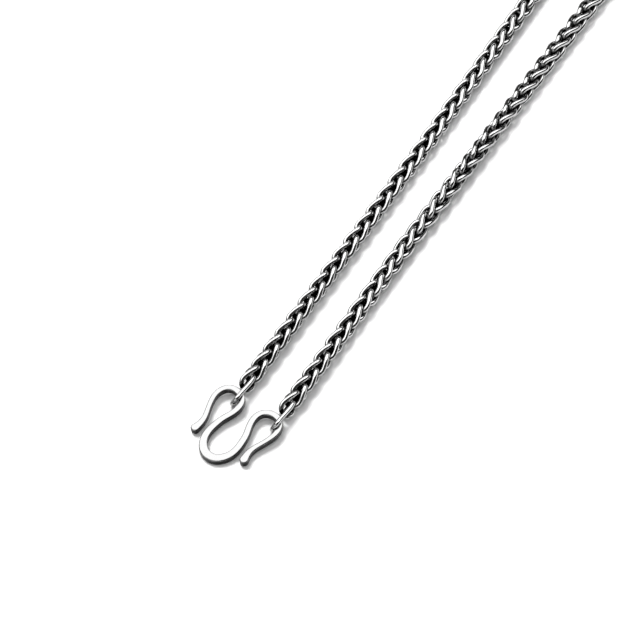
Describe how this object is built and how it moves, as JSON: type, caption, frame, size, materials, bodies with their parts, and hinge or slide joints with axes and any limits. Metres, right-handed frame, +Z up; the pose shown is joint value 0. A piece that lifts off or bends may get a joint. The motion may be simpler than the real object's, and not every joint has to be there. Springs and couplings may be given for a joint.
{
  "type": "wheat chain necklace with m-hook clasp",
  "caption": "Necklace of round-wire wheat chain, closed with a flat M-shaped hook that holds an end link in each arch, lying in a long open loop.",
  "frame": {"origin": "middle of the necklace's footprint, on the surface that it lies on", "axes": "+Y from the clasp along the two strands to the far end of the loop, +Z up from the surface, +X to the right strand"},
  "size_m": [0.08, 0.2624, 0.0038],
  "materials": {
    "hook_metal": "polished silver with a darkened tone in the hollows and on the side walls",
    "chain_metal": "polished silver wire, oxidised dark between the links"
  },
  "bodies": {
    "root": {"m_hook": "hook_metal", "end_link_left": "chain_metal", "end_link_right": "chain_metal", "chain_left": "chain_metal", "chain_right": "chain_metal"}
  },
  "joints": []
}
